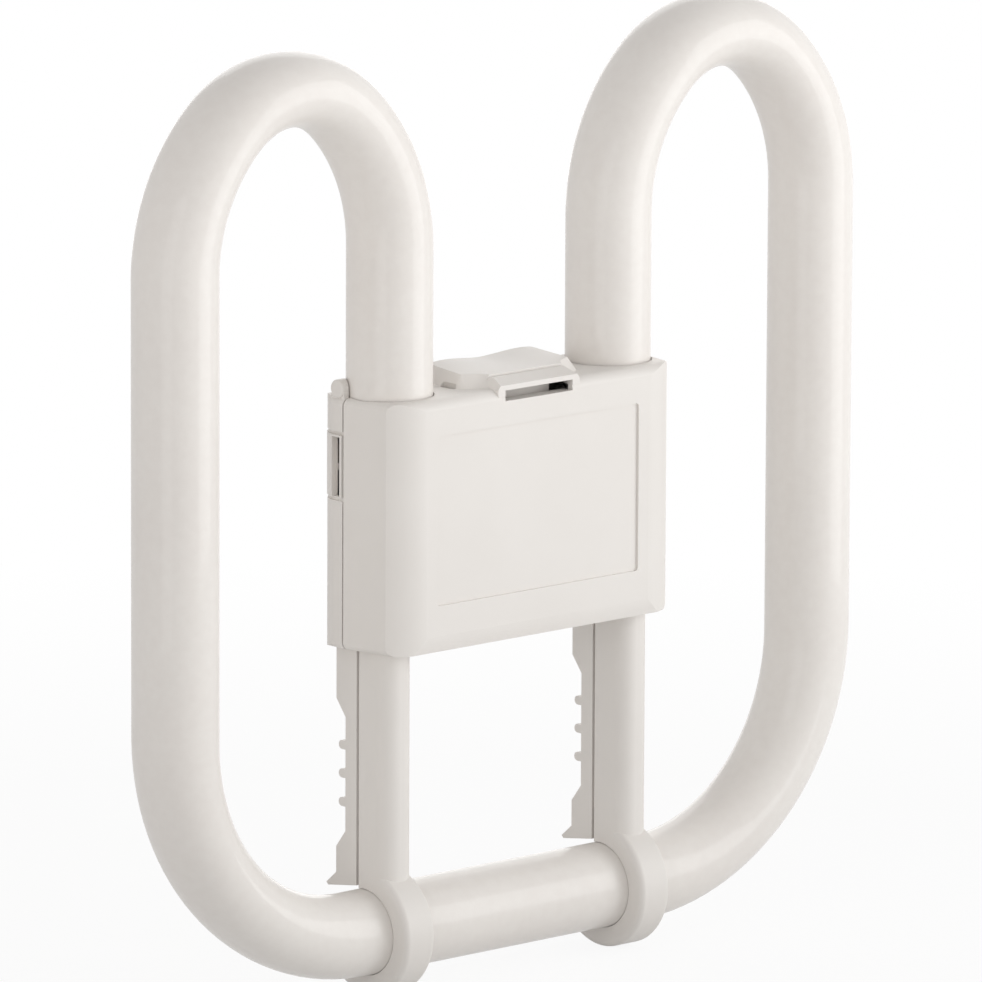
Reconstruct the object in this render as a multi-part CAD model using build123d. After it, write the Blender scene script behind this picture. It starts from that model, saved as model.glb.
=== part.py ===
from build123d import *
import math
import os

os.makedirs("parts", exist_ok=True)

# A square compact fluorescent lamp, in millimetres: one bent glass tube, held by a moulded
# block and two legs that clip round the bottom of the tube. X is the width, +Y points to
# the rear, where the pins are, and +Z is up. While it is modelled, y = 0 is the plane of
# the tube and z = 0 the middle of the block. The nodes are then moved so that the origin
# lies in the middle of the four pins, on the face that seats on the holder.

# Glass tube
TUBE_WIDTH = 205.0
TUBE_HEIGHT = 205.7
TUBE_R = 9.45
INNER_LEG_X = 32.05
ARCH_RISE = 37.5
CROWN_R = 25.0
CORNER_R = 50.5
BOTTOM_Z = -90.0
ARCH_SQUEEZE = 0.14
ARCH_SPREAD = 0.11
CORNER_SQUEEZE = 0.09
CORNER_SPREAD = 0.02
TUBE_END_Z = 6.0
END_ROUND = 4.0
TIP_R = 2.1
TIP_ROUND = 1.9
TIP_LENGTH = 7.5
ARCH_STATIONS = 12
CORNER_STATIONS = 8

# Moulded block
SEAM_Y = 2.2
FRONT_ROOM = 3.45
REAR_ROOM = 1.85
SIDE_ROOM = 2.0
SIDE_DRAFT = 3.0
BLOCK_TOP_Z = 28.3
BLOCK_BOTTOM_Z = -27.2
BLOCK_CORNER_R = 1.8
FRONT_ARC_R = 12.2
SIDE_ARC_RUN = 8.0
BOTTOM_ARC_RUN = 3.5
FRONT_TOP_R = 2.4
FACE_BREAK = 0.01
REAR_SIDE_R = 6.6
REAR_TOP_R = 2.0
LEAST_R = 0.2
WALL = 1.5
SEAM_GAP = 0.4
TONGUE = 2.4
TONGUE_WALL = 0.9
FIT = 0.1
TUBE_FIT = 0.35

# Bare panel on the front
PANEL_HALF_X = 29.6
PANEL_BOTTOM_Z = -17.0
PANEL_TOP_Z = 20.4
PANEL_DEPTH = 0.5
PANEL_R = 0.8

# Slot and hood at the top of the front, and the rear housing's latch behind them
SLOT_HALF_X = 9.85
SLOT_BOTTOM_Z = 25.7
SLOT_TOP_Z = 28.1
SLOT_WALL = 3.0
HOOD_FRONT_Z = 29.2
HOOD_BACK_Z = 31.0
HOOD_BACK_Y = -8.4
HOOD_SKIN = 0.9
HOOD_EDGE_R = 0.9
LATCH_HALF_X = 7.5
LATCH_Y = -7.8
LATCH_WALL = 1.4
LATCH_TOP_Z = 28.2
LATCH_ARM = 2.2
LATCH_NOSE = 2.4
LATCH_NOSE_HEIGHT = 1.4
LEDGE_DEPTH = 1.1

# Raised plate that runs back from the hood between the tube's legs
PLATE_NECK_X = 11.9
PLATE_HALF_X = 17.8
PLATE_SHOULDER_Y = -6.0
PLATE_REAR_Y = 8.8
PLATE_ROUND = 2.5
PLATE_SLOPE = 35.0
PLATE_REAR_Z = 31.4
HUMP_X = 8.0
HUMP_HEIGHT = 1.1
HUMP_VALLEY = 0.25
SNAP_X = 17.6
SNAP_Y = -3.0
SNAP_LENGTH = 4.6
SNAP_WIDTH = 1.3

# Side latches
WINDOW_Z0 = 6.4
WINDOW_Z1 = 19.7
WINDOW_Y0 = 3.0
WINDOW_Y1 = 5.6
PAD_HEIGHT = 0.3
PAD_TOP_Z = 20.1
PAD_WRAP = 4.5
GROOVE_WIDTH = 0.8
GROOVE_DEPTH = 0.6
TAB_DEPTH = 0.9
TAB_THICK = 0.75
TAB_LEAN = 0.9
TAB_FIT = 0.25
NOSE = 0.4
LUG_R = 2.05
LUG_Y = 4.6
LUG_Z = 30.05
LUG_LENGTH = 3.4
LUG_INSET = 0.2
LUG_EDGE_R = 0.5

# Legs and the rings that wrap the bottom of the tube
LEG_X = 34.75
LEG_WIDTH = 8.5
LEG_FRONT_Y = 7.5
LEG_EDGE_R = 3.8
LEG_WALL = 1.5
LEG_GAP = 0.8
LEG_BACK_Y = 9.2
SCALLOP_Y = 6.2
SCALLOP_TOP = 50.6
SCALLOP_BOTTOM = 17.6
SCALLOP_RAMP = 3.8
GRIP_Y = 8.4
GRIP_R = 1.0
GRIP_MIDDLE = 34.15
GRIP_PITCH = 6.35
GRIP_COUNT = 3
RING_R = 14.0
RING_FIT = 0.15
RING_EDGE_R = 1.3
LOWER_LIP_ANGLE = -54.0
UPPER_LIP_Y = 12.4
UPPER_LIP_Z = 8.5
UPPER_LIP_RISE = 3.3
LIP_OVER = 0.3
LIP_TIP = 0.6

# Plug and its four pins
SEAT_Y = 19.0
PLUG_HALF_X = 13.0
PLUG_HALF_Z = 11.0
PLUG_R = 2.0
PLUG_WALL = 1.8
PLUG_EDGE_R = 0.5
CATCH_HALF_Z = 4.0
CATCH_Y0 = 13.4
CATCH_WIDTH = 2.6
PIN_SPACING_X = 7.92
PIN_SPACING_Z = 6.35
PIN_R = 1.2
PIN_LENGTH = 6.8
PIN_BORE_R = 0.35
PIN_BORE = 3.6
PIN_FLANGE_R = 2.0
PIN_FLANGE = 0.8
PIN_TAIL = 1.4
PIN_TAIL_R = 0.9
PIN_COLLAR_R = 1.5
PIN_FIT = 0.05

# Leads, sleeves and cement
LEAD_R = 0.3
LEAD_SPREAD = 3.0
LEAD_BEND_R = 1.8
LEAD_INSERT = 3.0
SLEEVE_R = 0.8
SLEEVE_BORE_R = 0.4
SLEEVE_END_GAP = 3.5
RIB = 1.4
RIB_LOW_Z = 12.0
RIB_HIGH_Z = 21.0
RIB_INNER_X = 19.0
CEMENT_WALL = 2.15
CEMENT_HEIGHT = 3.6
CEMENT_FIT = 0.05

# Places worked out from the sizes above
OUTER_LEG_X = TUBE_WIDTH / 2 - TUBE_R
CROWN_Z = BOTTOM_Z - TUBE_R + TUBE_HEIGHT - TUBE_R * (1 - ARCH_SQUEEZE)
SPRING_Z = CROWN_Z - ARCH_RISE
ARCH_HALF = (OUTER_LEG_X - INNER_LEG_X) / 2
ARCH_MIDDLE = (OUTER_LEG_X + INNER_LEG_X) / 2
SIDE_R = ((ARCH_RISE - CROWN_R) ** 2 + ARCH_HALF ** 2 - CROWN_R ** 2) / (2 * (ARCH_HALF - CROWN_R))
RING_BORE = TUBE_R + RING_FIT
SEAM_HALF_X = INNER_LEG_X + TUBE_R + SIDE_ROOM
FRONT_HALF_X = SEAM_HALF_X - SIDE_DRAFT
FRONT_Y = -TUBE_R - FRONT_ROOM
REAR_DEPTH = TUBE_R + REAR_ROOM
FLOOR_Y = REAR_DEPTH - WALL
PIN_TIP_Y = REAR_DEPTH + PIN_LENGTH
PIN_TAIL_Y = FLOOR_Y - PIN_FLANGE - PIN_TAIL
LATCH_Z = SLOT_BOTTOM_Z - LEDGE_DEPTH - FIT - LATCH_NOSE_HEIGHT
PAD_REAR_X = SEAM_HALF_X - PAD_WRAP
TAB_OUTER_X = SEAM_HALF_X - TAB_DEPTH
TAB_INNER_X = TAB_OUTER_X - TAB_THICK
FAR = 300.0
OVER = 1.0

BOTTOM_ALIGN = (Align.CENTER, Align.CENTER, Align.MIN)


def span_box(x0, x1, y0, y1, z0, z1):
    """A box between two corners."""
    middle = ((x0 + x1) / 2, (y0 + y1) / 2, (z0 + z1) / 2)
    return Pos(*middle) * Box(x1 - x0, y1 - y0, z1 - z0)


def both_sides(piece):
    """The piece and its mirror image in the lamp's middle plane."""
    return [piece, mirror(piece, Plane.YZ)]


def side_profile(face, x, width):
    """A face drawn as (y, z), made a slab of the given width about x."""
    slab = extrude(Plane.YZ * face, amount=width / 2, both=True)
    return Pos(x, 0, 0) * slab


# Glass tube
def tube_section(x, z, heading, squeeze, spread):
    """The tube's section where its line runs at the heading, flattened as in a bend."""
    across = (-math.sin(heading), 0, math.cos(heading))
    along = (math.cos(heading), 0, math.sin(heading))
    plane = Plane(origin=(x, 0, z), x_dir=across, z_dir=along)
    return plane * Ellipse(TUBE_R * (1 - squeeze), TUBE_R * (1 + spread))


def arch_point(share):
    """A point of the three-centred arch and the angle of its radius, by share of its length."""
    side_angle = math.acos((SIDE_R - ARCH_HALF) / (SIDE_R - CROWN_R))
    side_length = SIDE_R * side_angle
    length = 2 * side_length + CROWN_R * (math.pi - 2 * side_angle)
    run = share * length
    if run < side_length:
        angle = run / SIDE_R
        centre_x, centre_z, radius = ARCH_HALF - SIDE_R, 0, SIDE_R
    elif run > length - side_length:
        angle = math.pi - (length - run) / SIDE_R
        centre_x, centre_z, radius = SIDE_R - ARCH_HALF, 0, SIDE_R
    else:
        angle = side_angle + (run - side_length) / CROWN_R
        centre_x, centre_z, radius = 0, (SIDE_R - CROWN_R) * math.sin(side_angle), CROWN_R
    return centre_x + radius * math.cos(angle), centre_z + radius * math.sin(angle), angle


def arch():
    """The left arch, from the inner leg over to the outer leg."""
    sections = []
    for i in range(ARCH_STATIONS + 1):
        share = i / ARCH_STATIONS
        x, z, angle = arch_point(share)
        bend = math.sin(math.pi * share)
        squeeze = ARCH_SQUEEZE * bend
        heading = angle + math.pi / 2
        section = tube_section(x - ARCH_MIDDLE, z + SPRING_Z, heading, squeeze, ARCH_SPREAD * bend)
        sections.append(section)
    return loft(sections)


def corner():
    """The left bottom corner, from the outer leg round to the bottom of the tube."""
    sections = []
    for i in range(CORNER_STATIONS + 1):
        angle = math.pi / 2 * i / CORNER_STATIONS
        bend = math.sin(2 * angle)
        x = -OUTER_LEG_X + CORNER_R * (1 - math.cos(angle))
        z = BOTTOM_Z + CORNER_R * (1 - math.sin(angle))
        section = tube_section(x, z, angle - math.pi / 2, CORNER_SQUEEZE * bend, CORNER_SPREAD * bend)
        sections.append(section)
    return loft(sections)


def tube_end():
    """The sealed end of the left inner leg, with the tip left by the exhaust tube."""
    leg = Pos(-INNER_LEG_X, 0, TUBE_END_Z) * Cylinder(TUBE_R, SPRING_Z - TUBE_END_Z, align=BOTTOM_ALIGN)
    leg = fillet(leg.edges().sort_by(Axis.Z)[0], END_ROUND)
    tip = Cylinder(TIP_R, TIP_LENGTH + TIP_R, align=BOTTOM_ALIGN)
    tip = Pos(-INNER_LEG_X, 0, TUBE_END_Z - TIP_LENGTH) * tip
    tip = fillet(tip.edges().sort_by(Axis.Z)[0], TIP_ROUND)
    return leg + tip


def discharge_tube():
    outer_start = BOTTOM_Z + CORNER_R
    outer_leg = Cylinder(TUBE_R, SPRING_Z - outer_start, align=BOTTOM_ALIGN)
    outer_leg = Pos(-OUTER_LEG_X, 0, outer_start) * outer_leg
    tube = Pos(0, 0, BOTTOM_Z) * Rot(0, 90, 0) * Cylinder(TUBE_R, 2 * (OUTER_LEG_X - CORNER_R))
    for stretch in [tube_end(), arch(), outer_leg, corner()]:
        for piece in both_sides(stretch):
            tube = tube + piece
    return tube


# Shapes shared by the two halves of the block
def least(radius):
    """A radius drawn in by an inset, kept large enough to be made."""
    return max(radius, LEAST_R)


def block_outline(half_x, inset, y):
    """The block's rounded outline, drawn in a plane across the depth."""
    height = BLOCK_TOP_Z - BLOCK_BOTTOM_Z - 2 * inset
    outline = Plane.XZ * RectangleRounded(2 * half_x, height, least(BLOCK_CORNER_R - inset))
    return Pos(0, y, (BLOCK_TOP_Z + BLOCK_BOTTOM_Z) / 2) * outline


def plan_bar(half_x, y0, y1, radius):
    """A bar along Z with rounded edges, between two depths."""
    outline = Pos(0, (y0 + y1) / 2, 0) * RectangleRounded(2 * half_x, y1 - y0, radius)
    return extrude(outline, amount=FAR / 2, both=True)


def side_bar(z0, z1, y0, y1, radius):
    """A bar along X with rounded edges, between two heights and two depths."""
    outline = Pos((y0 + y1) / 2, (z0 + z1) / 2) * RectangleRounded(y1 - y0, z1 - z0, radius)
    return side_profile(outline, 0, FAR)


def front_form(inset):
    """The front half of the block, drawn in by an inset: its face falls away in wide arcs."""
    seam = block_outline(SEAM_HALF_X - inset, inset, SEAM_Y)
    front = block_outline(FRONT_HALF_X - inset, inset, FRONT_Y + inset)
    arc_r = FRONT_ARC_R - inset
    face_y = FRONT_Y + inset
    sides = plan_bar(FRONT_HALF_X - SIDE_ARC_RUN + arc_r, face_y, FAR, arc_r)
    bottom = side_bar(BLOCK_BOTTOM_Z + BOTTOM_ARC_RUN - arc_r, FAR, face_y, FAR, arc_r)
    top = side_bar(-FAR, BLOCK_TOP_Z - inset, face_y - FACE_BREAK, FAR, least(FRONT_TOP_R - inset))
    return loft([seam, front]) & sides & bottom & top


def rear_form(inset, depth):
    """The rear half of the block, drawn in by an inset."""
    outline = block_outline(SEAM_HALF_X - inset, inset, SEAM_Y)
    body = extrude(outline, amount=depth - SEAM_Y, dir=(0, 1, 0))
    sides = plan_bar(SEAM_HALF_X - inset, -FAR, depth, least(REAR_SIDE_R - inset))
    ends = side_bar(BLOCK_BOTTOM_Z + inset, BLOCK_TOP_Z - inset, -FAR, depth, least(REAR_TOP_R - inset))
    return body & sides & ends


def tube_holes():
    """Room for the tube's inner legs through the top of the block."""
    hole = Cylinder(TUBE_R + TUBE_FIT, FAR, align=BOTTOM_ALIGN)
    return both_sides(Pos(-INNER_LEG_X, 0, TUBE_END_Z) * hole)


def saddle(z, y0, y1):
    """A rib across the block with the tube's round cut out of it, on the left."""
    outer_x = SEAM_HALF_X - WALL
    rib = span_box(-outer_x, -RIB_INNER_X, y0, y1, z, z + RIB)
    room = Pos(-INNER_LEG_X, 0, z) * Cylinder(TUBE_R + FIT, 2 * RIB + 2 * OVER)
    return rib - room


# Front cover
def plate_outline(inset):
    """The plate's foot on top of the block, which runs on past the front under the hood."""
    shoulder_run = PLATE_HALF_X - PLATE_NECK_X
    half_outline = [
        (PLATE_NECK_X, 2 * FRONT_Y),
        (PLATE_NECK_X, PLATE_SHOULDER_Y - shoulder_run / 2),
        (PLATE_HALF_X, PLATE_SHOULDER_Y),
        (PLATE_HALF_X, PLATE_REAR_Y),
    ]
    mirrored = [(-x, y) for x, y in reversed(half_outline)]
    outline = make_face(Polyline(half_outline + mirrored, close=True))
    corners = [v for v in outline.vertices() if v.Y > FRONT_Y]
    return offset(fillet(corners, PLATE_ROUND), -inset)


def plate_section(y, top_z, hump):
    """A section across the plate, with two humps of the given height along its top."""
    top = Spline([
        (-PLATE_HALF_X, top_z),
        (-HUMP_X, top_z + hump),
        (0, top_z + HUMP_VALLEY * hump),
        (HUMP_X, top_z + hump),
        (PLATE_HALF_X, top_z),
    ])
    half = PLATE_HALF_X
    sides = Polyline([(half, top_z), (half, 0), (-half, 0), (-half, top_z)])
    return Pos(0, y, 0) * (Plane.XZ * make_face(top + sides))


def plate_roof(inset):
    """All that lies under the plate's top: the hood's slope, then humps that grow to the rear."""
    slope = make_face(Polyline([
        (FRONT_Y + inset, 0),
        (FRONT_Y + inset, HOOD_FRONT_Z - inset),
        (HOOD_BACK_Y, HOOD_BACK_Z - inset),
        (HOOD_BACK_Y, 0),
    ], close=True))
    edge = slope.vertices().group_by(Axis.Y)[-1].sort_by(Axis.X)[0]
    slope = fillet(edge, least(HOOD_EDGE_R - inset))
    front = plate_section(HOOD_BACK_Y, HOOD_BACK_Z - inset, 0)
    rear = plate_section(PLATE_REAR_Y - min(inset, 0), PLATE_REAR_Z - inset, HUMP_HEIGHT)
    return side_profile(slope, 0, 2 * PLATE_HALF_X) + loft([front, rear])


def plate_form(inset, foot_z):
    """The hood and the plate as one rise with sloping sides, drawn in by an inset."""
    outline = plate_outline(inset)
    height = PLATE_REAR_Z + HUMP_HEIGHT - BLOCK_TOP_Z
    rise = extrude(Pos(0, 0, BLOCK_TOP_Z) * outline, amount=height, taper=PLATE_SLOPE)
    foot = extrude(Pos(0, 0, foot_z) * outline, amount=BLOCK_TOP_Z - foot_z)
    return (rise + foot) & plate_roof(inset)


def slot_room():
    """The slot in the front and the room behind it for the rear housing's latch."""
    back = FRONT_Y + SLOT_WALL
    slot = span_box(-SLOT_HALF_X, SLOT_HALF_X, FRONT_Y - OVER, back, SLOT_BOTTOM_Z, SLOT_TOP_Z)
    room_top = HOOD_FRONT_Z - HOOD_SKIN
    room = span_box(-SLOT_HALF_X, SLOT_HALF_X, back, HOOD_BACK_Y + OVER, LATCH_Z, room_top)
    return slot + room


def slot_ledge():
    """The floor of the slot, which the latch's nose hooks under."""
    front = FRONT_Y + WALL / 2
    floor_z = SLOT_BOTTOM_Z - LEDGE_DEPTH
    return span_box(-SLOT_HALF_X, SLOT_HALF_X, front, FRONT_Y + SLOT_WALL, floor_z, SLOT_BOTTOM_Z)


def leg_front():
    """The front channel of the left leg, open to the rear."""
    top = BLOCK_BOTTOM_Z + WALL
    half = LEG_WIDTH / 2
    back = SEAM_Y - LEG_GAP / 2
    leg = span_box(-LEG_X - half, -LEG_X + half, -LEG_FRONT_Y, back, BOTTOM_Z, top)
    corners = leg.edges().filter_by(Axis.Z).group_by(Axis.Y)[0]
    leg = fillet(corners, LEG_EDGE_R)
    inner = half - LEG_WALL
    foot_z = BOTTOM_Z + RING_R
    channel = span_box(-LEG_X - inner, -LEG_X + inner, LEG_WALL - LEG_FRONT_Y, back + OVER, foot_z, FAR)
    channel = fillet(channel.edges().filter_by(Axis.Z).group_by(Axis.Y)[0], LEG_EDGE_R - LEG_WALL)
    return leg - channel


def ring():
    """The left ring, open at the rear, with a thin lip at the end of its lower arm."""
    lip = math.radians(LOWER_LIP_ANGLE)
    tip_y = RING_R * math.cos(lip)
    tip_z = RING_R * math.sin(lip)
    gap = make_face(Polyline([
        (SEAM_Y - LEG_GAP / 2, 2 * RING_R),
        (SEAM_Y - LEG_GAP / 2, -RING_BORE),
        (tip_y - LIP_TIP, tip_z + LIP_TIP),
        (2 * RING_R, tip_z + LIP_TIP),
        (2 * RING_R, 2 * RING_R),
    ], close=True))
    band = side_profile(Circle(RING_R) - gap, -LEG_X, LEG_WIDTH)
    rims = band.edges().filter_by(GeomType.CIRCLE)
    band = fillet(rims, RING_EDGE_R)
    return Pos(0, 0, BOTTOM_Z) * band


def side_tab():
    """The left snap tab, which leans in behind the rear housing's window, with a low nose."""
    nose_y = WINDOW_Y0 + TAB_FIT
    tip_y = WINDOW_Y1 - TAB_FIT
    outline = make_face(Polyline([
        (-TAB_INNER_X, 0),
        (-TAB_OUTER_X, 0),
        (-TAB_OUTER_X, nose_y),
        (-TAB_OUTER_X - NOSE, nose_y),
        (TAB_LEAN - TAB_OUTER_X, tip_y),
        (TAB_LEAN - TAB_INNER_X, tip_y),
    ], close=True))
    z0 = WINDOW_Z0 + TAB_FIT
    return extrude(Pos(0, 0, z0) * outline, amount=WINDOW_Z1 - TAB_FIT - z0)


def panel_room():
    """The shallow bare panel sunk in the front."""
    outline = RectangleRounded(2 * PANEL_HALF_X, PANEL_TOP_Z - PANEL_BOTTOM_Z, PANEL_R)
    middle_z = (PANEL_TOP_Z + PANEL_BOTTOM_Z) / 2
    face = Pos(0, FRONT_Y + PANEL_DEPTH, middle_z) * (Plane.XZ * outline)
    return extrude(face, amount=2 * PANEL_DEPTH, dir=(0, -1, 0))


def snap_slot():
    """The small slot at the foot of the plate's slope, on the left."""
    outline = Rot(0, 0, 90) * SlotOverall(SNAP_LENGTH, SNAP_WIDTH)
    return extrude(Pos(-SNAP_X, SNAP_Y, BLOCK_TOP_Z - WALL - OVER) * outline, amount=WALL + 2 * OVER)


def front_cover():
    cover = front_form(0) - front_form(WALL)
    for z in (RIB_LOW_Z, RIB_HIGH_Z):
        rib = saddle(z, FRONT_Y, SEAM_Y - TONGUE - FIT) & front_form(WALL / 2)
        for piece in both_sides(rib):
            cover = cover + piece
    cover = cover - span_box(-FAR, FAR, SEAM_Y - SEAM_GAP / 2, FAR, -FAR, FAR)
    cover = cover + plate_form(0, BLOCK_TOP_Z - WALL) - plate_form(WALL, BLOCK_TOP_Z - 2 * WALL)
    cover = cover - slot_room() + slot_ledge() - panel_room()
    for piece in both_sides(side_tab()):
        cover = cover + piece
    for cut in tube_holes() + both_sides(snap_slot()):
        cover = cover - cut
    for piece in both_sides(leg_front() + ring()):
        cover = cover + piece
    return cover - Pos(0, 0, BOTTOM_Z) * Rot(0, 90, 0) * Cylinder(RING_BORE, 2 * SEAM_HALF_X)


# Rear housing
def leg_back():
    """The back of the left leg, with its scalloped edge, grips and upper lip."""
    lip_z = BOTTOM_Z + UPPER_LIP_Z
    front = SEAM_Y + LEG_GAP / 2
    top = BLOCK_BOTTOM_Z + WALL
    profile = make_face(Polyline([
        (front, top),
        (LEG_BACK_Y, top),
        (LEG_BACK_Y, BOTTOM_Z + SCALLOP_TOP),
        (SCALLOP_Y, BOTTOM_Z + SCALLOP_TOP - SCALLOP_RAMP),
        (SCALLOP_Y, BOTTOM_Z + SCALLOP_BOTTOM + SCALLOP_RAMP),
        (LEG_BACK_Y, BOTTOM_Z + SCALLOP_BOTTOM),
        (LEG_BACK_Y, lip_z + UPPER_LIP_RISE),
        (UPPER_LIP_Y, lip_z + LIP_TIP),
        (UPPER_LIP_Y - LIP_TIP, lip_z),
        (front, BOTTOM_Z + RING_BORE + LIP_OVER),
    ], close=True))
    back = side_profile(profile, -LEG_X, LEG_WIDTH)
    for i in range(GRIP_COUNT):
        z = BOTTOM_Z + GRIP_MIDDLE + (i - (GRIP_COUNT - 1) / 2) * GRIP_PITCH
        grip = Rot(0, 90, 0) * Cylinder(GRIP_R, LEG_WIDTH)
        stem = span_box(-LEG_WIDTH / 2, LEG_WIDTH / 2, SCALLOP_Y - GRIP_Y, 0, -GRIP_R, GRIP_R)
        back = back + Pos(-LEG_X, GRIP_Y - GRIP_R, z) * (grip + stem)
    tongue_half = LEG_WIDTH / 2 - LEG_WALL - FIT
    room_half = tongue_half - TONGUE_WALL
    room_z = BOTTOM_Z + RING_R + LEG_WALL
    tongue_top = BLOCK_BOTTOM_Z - FIT
    tongue = span_box(-tongue_half, tongue_half, SEAM_Y - TONGUE, front + OVER, room_z, tongue_top)
    room = span_box(-room_half, room_half, -FAR, SCALLOP_Y - LEG_WALL, room_z, FAR)
    return back + Pos(-LEG_X, 0, 0) * tongue - Pos(-LEG_X, 0, 0) * room


def block_tongue():
    """The thin wall that runs from the rear housing into the front cover."""
    skin = front_form(WALL + FIT) & span_box(-FAR, FAR, SEAM_Y - TONGUE, FAR, -FAR, FAR)
    skin = skin - front_form(WALL + FIT + TONGUE_WALL)
    seam_end = SEAM_Y + SEAM_GAP / 2
    root = rear_form(WALL + FIT, REAR_DEPTH) & span_box(-FAR, FAR, SEAM_Y, seam_end, -FAR, FAR)
    band = span_box(-FAR, FAR, seam_end, seam_end + WALL, -FAR, FAR)
    root = root + (rear_form(WALL / 2, REAR_DEPTH) & band)
    return skin + (root - rear_form(WALL + FIT + TONGUE_WALL, REAR_DEPTH))


def latch():
    """The arm that reaches forward under the plate and hooks under the slot's floor."""
    arm = span_box(-LATCH_HALF_X, LATCH_HALF_X, LATCH_Y, SEAM_Y, LATCH_TOP_Z - LATCH_ARM, LATCH_TOP_Z)
    drop = span_box(-LATCH_HALF_X, LATCH_HALF_X, LATCH_Y, LATCH_Y + LATCH_WALL, LATCH_Z, LATCH_TOP_Z)
    nose_top = LATCH_Z + LATCH_NOSE_HEIGHT
    nose = span_box(-LATCH_HALF_X, LATCH_HALF_X, LATCH_Y - LATCH_NOSE, LATCH_Y, LATCH_Z, nose_top)
    return arm + drop + nose


def plug():
    """The shroud round the pins, with a catch slot in each side."""
    base_y = REAR_DEPTH - WALL / 2
    outline = Plane.XZ * RectangleRounded(2 * PLUG_HALF_X, 2 * PLUG_HALF_Z, PLUG_R)
    body = extrude(Pos(0, base_y, 0) * outline, amount=SEAT_Y - base_y, dir=(0, 1, 0))
    body = fillet(body.edges().group_by(Axis.Y)[-1], PLUG_EDGE_R)
    inner_x = PLUG_HALF_X - PLUG_WALL
    inner_z = PLUG_HALF_Z - PLUG_WALL
    recess = span_box(-inner_x, inner_x, REAR_DEPTH, FAR, -inner_z, inner_z)
    catch = span_box(-FAR, FAR, CATCH_Y0, CATCH_Y0 + CATCH_WIDTH, -CATCH_HALF_Z, CATCH_HALF_Z)
    return body - recess - catch


def pin_places():
    """The four pins' places, as (x, z)."""
    half_x = PIN_SPACING_X / 2
    half_z = PIN_SPACING_Z / 2
    return [(-half_x, half_z), (half_x, half_z), (-half_x, -half_z), (half_x, -half_z)]


def side_cuts():
    """The left window, the room in front of it for the tab, and the grooves over and under it."""
    inner_x = TAB_INNER_X - 2 * WALL
    relief_x = TAB_OUTER_X + FIT
    relief = span_box(-relief_x, -inner_x, -FAR, WINDOW_Y1, WINDOW_Z0, WINDOW_Z1)
    window = span_box(-FAR, -inner_x, WINDOW_Y0, WINDOW_Y1, WINDOW_Z0, WINDOW_Z1)
    cuts = [relief, window]
    for z in (WINDOW_Z0 - GROOVE_WIDTH, PAD_TOP_Z):
        groove = span_box(-FAR, -PAD_REAR_X, -FAR, FAR, z, z + GROOVE_WIDTH)
        cuts.append(groove - rear_form(GROOVE_DEPTH, REAR_DEPTH))
    return cuts


def side_pad():
    """The low raised frame round the left window."""
    band = span_box(-FAR, -PAD_REAR_X, SEAM_Y, FAR, WINDOW_Z0, PAD_TOP_Z)
    return (band & rear_form(-PAD_HEIGHT, REAR_DEPTH)) - rear_form(WALL / 2, REAR_DEPTH)


def lug():
    """The round lug on the left shoulder."""
    half = LUG_LENGTH / 2
    barrel = Rot(0, 90, 0) * Cylinder(LUG_R, LUG_LENGTH)
    barrel = fillet(barrel.edges().filter_by(GeomType.CIRCLE), LUG_EDGE_R)
    stem = span_box(-half + LUG_EDGE_R, half - LUG_EDGE_R, -LUG_R, LUG_R, BLOCK_TOP_Z - WALL - LUG_Z, 0)
    return Pos(half + LUG_INSET - SEAM_HALF_X, LUG_Y, LUG_Z) * (barrel + stem)


def rear_housing():
    housing = rear_form(0, REAR_DEPTH) - rear_form(WALL, FLOOR_Y)
    for z in (RIB_LOW_Z, RIB_HIGH_Z):
        rib = saddle(z, SEAM_Y, REAR_DEPTH) & rear_form(WALL / 2, REAR_DEPTH)
        for piece in both_sides(rib):
            housing = housing + piece
    for piece in both_sides(side_pad()) + both_sides(lug()):
        housing = housing + piece
    housing = housing - span_box(-FAR, FAR, -FAR, SEAM_Y + SEAM_GAP / 2, -FAR, FAR)
    housing = housing + block_tongue() - plate_form(-FIT, BLOCK_TOP_Z - WALL - FIT) + latch() + plug()
    cuts = tube_holes()
    for cut in side_cuts():
        cuts = cuts + both_sides(cut)
    for x, z in pin_places():
        hole = Cylinder(PIN_COLLAR_R + PIN_FIT, 2 * WALL + 2 * OVER)
        cuts.append(Pos(x, REAR_DEPTH, z) * Rot(90, 0, 0) * hole)
    for cut in cuts:
        housing = housing - cut
    for piece in both_sides(leg_back()):
        housing = housing + piece
    return housing - Pos(0, 0, BOTTOM_Z) * Rot(0, 90, 0) * Cylinder(RING_BORE, 2 * SEAM_HALF_X)


# Pins, leads, sleeves and cement
def contact_pin(x, z):
    """A pin with its collar in the block's floor, its flange under it and a bore for its lead."""
    section = make_face(Polyline([
        (PIN_BORE_R, PIN_TAIL_Y),
        (PIN_TAIL_R, PIN_TAIL_Y),
        (PIN_TAIL_R, FLOOR_Y - PIN_FLANGE),
        (PIN_FLANGE_R, FLOOR_Y - PIN_FLANGE),
        (PIN_FLANGE_R, FLOOR_Y),
        (PIN_COLLAR_R, FLOOR_Y),
        (PIN_COLLAR_R, REAR_DEPTH),
        (PIN_R, REAR_DEPTH),
        (PIN_R, PIN_TIP_Y),
        (0, PIN_TIP_Y),
        (0, PIN_TAIL_Y + PIN_BORE),
        (PIN_BORE_R, PIN_TAIL_Y + PIN_BORE),
    ], close=True))
    pin = revolve(section, Axis.Y)
    pin = fillet(pin.edges().group_by(Axis.Y)[-1], PIN_R / 2)
    return Pos(x, 0, z) * pin


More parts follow.
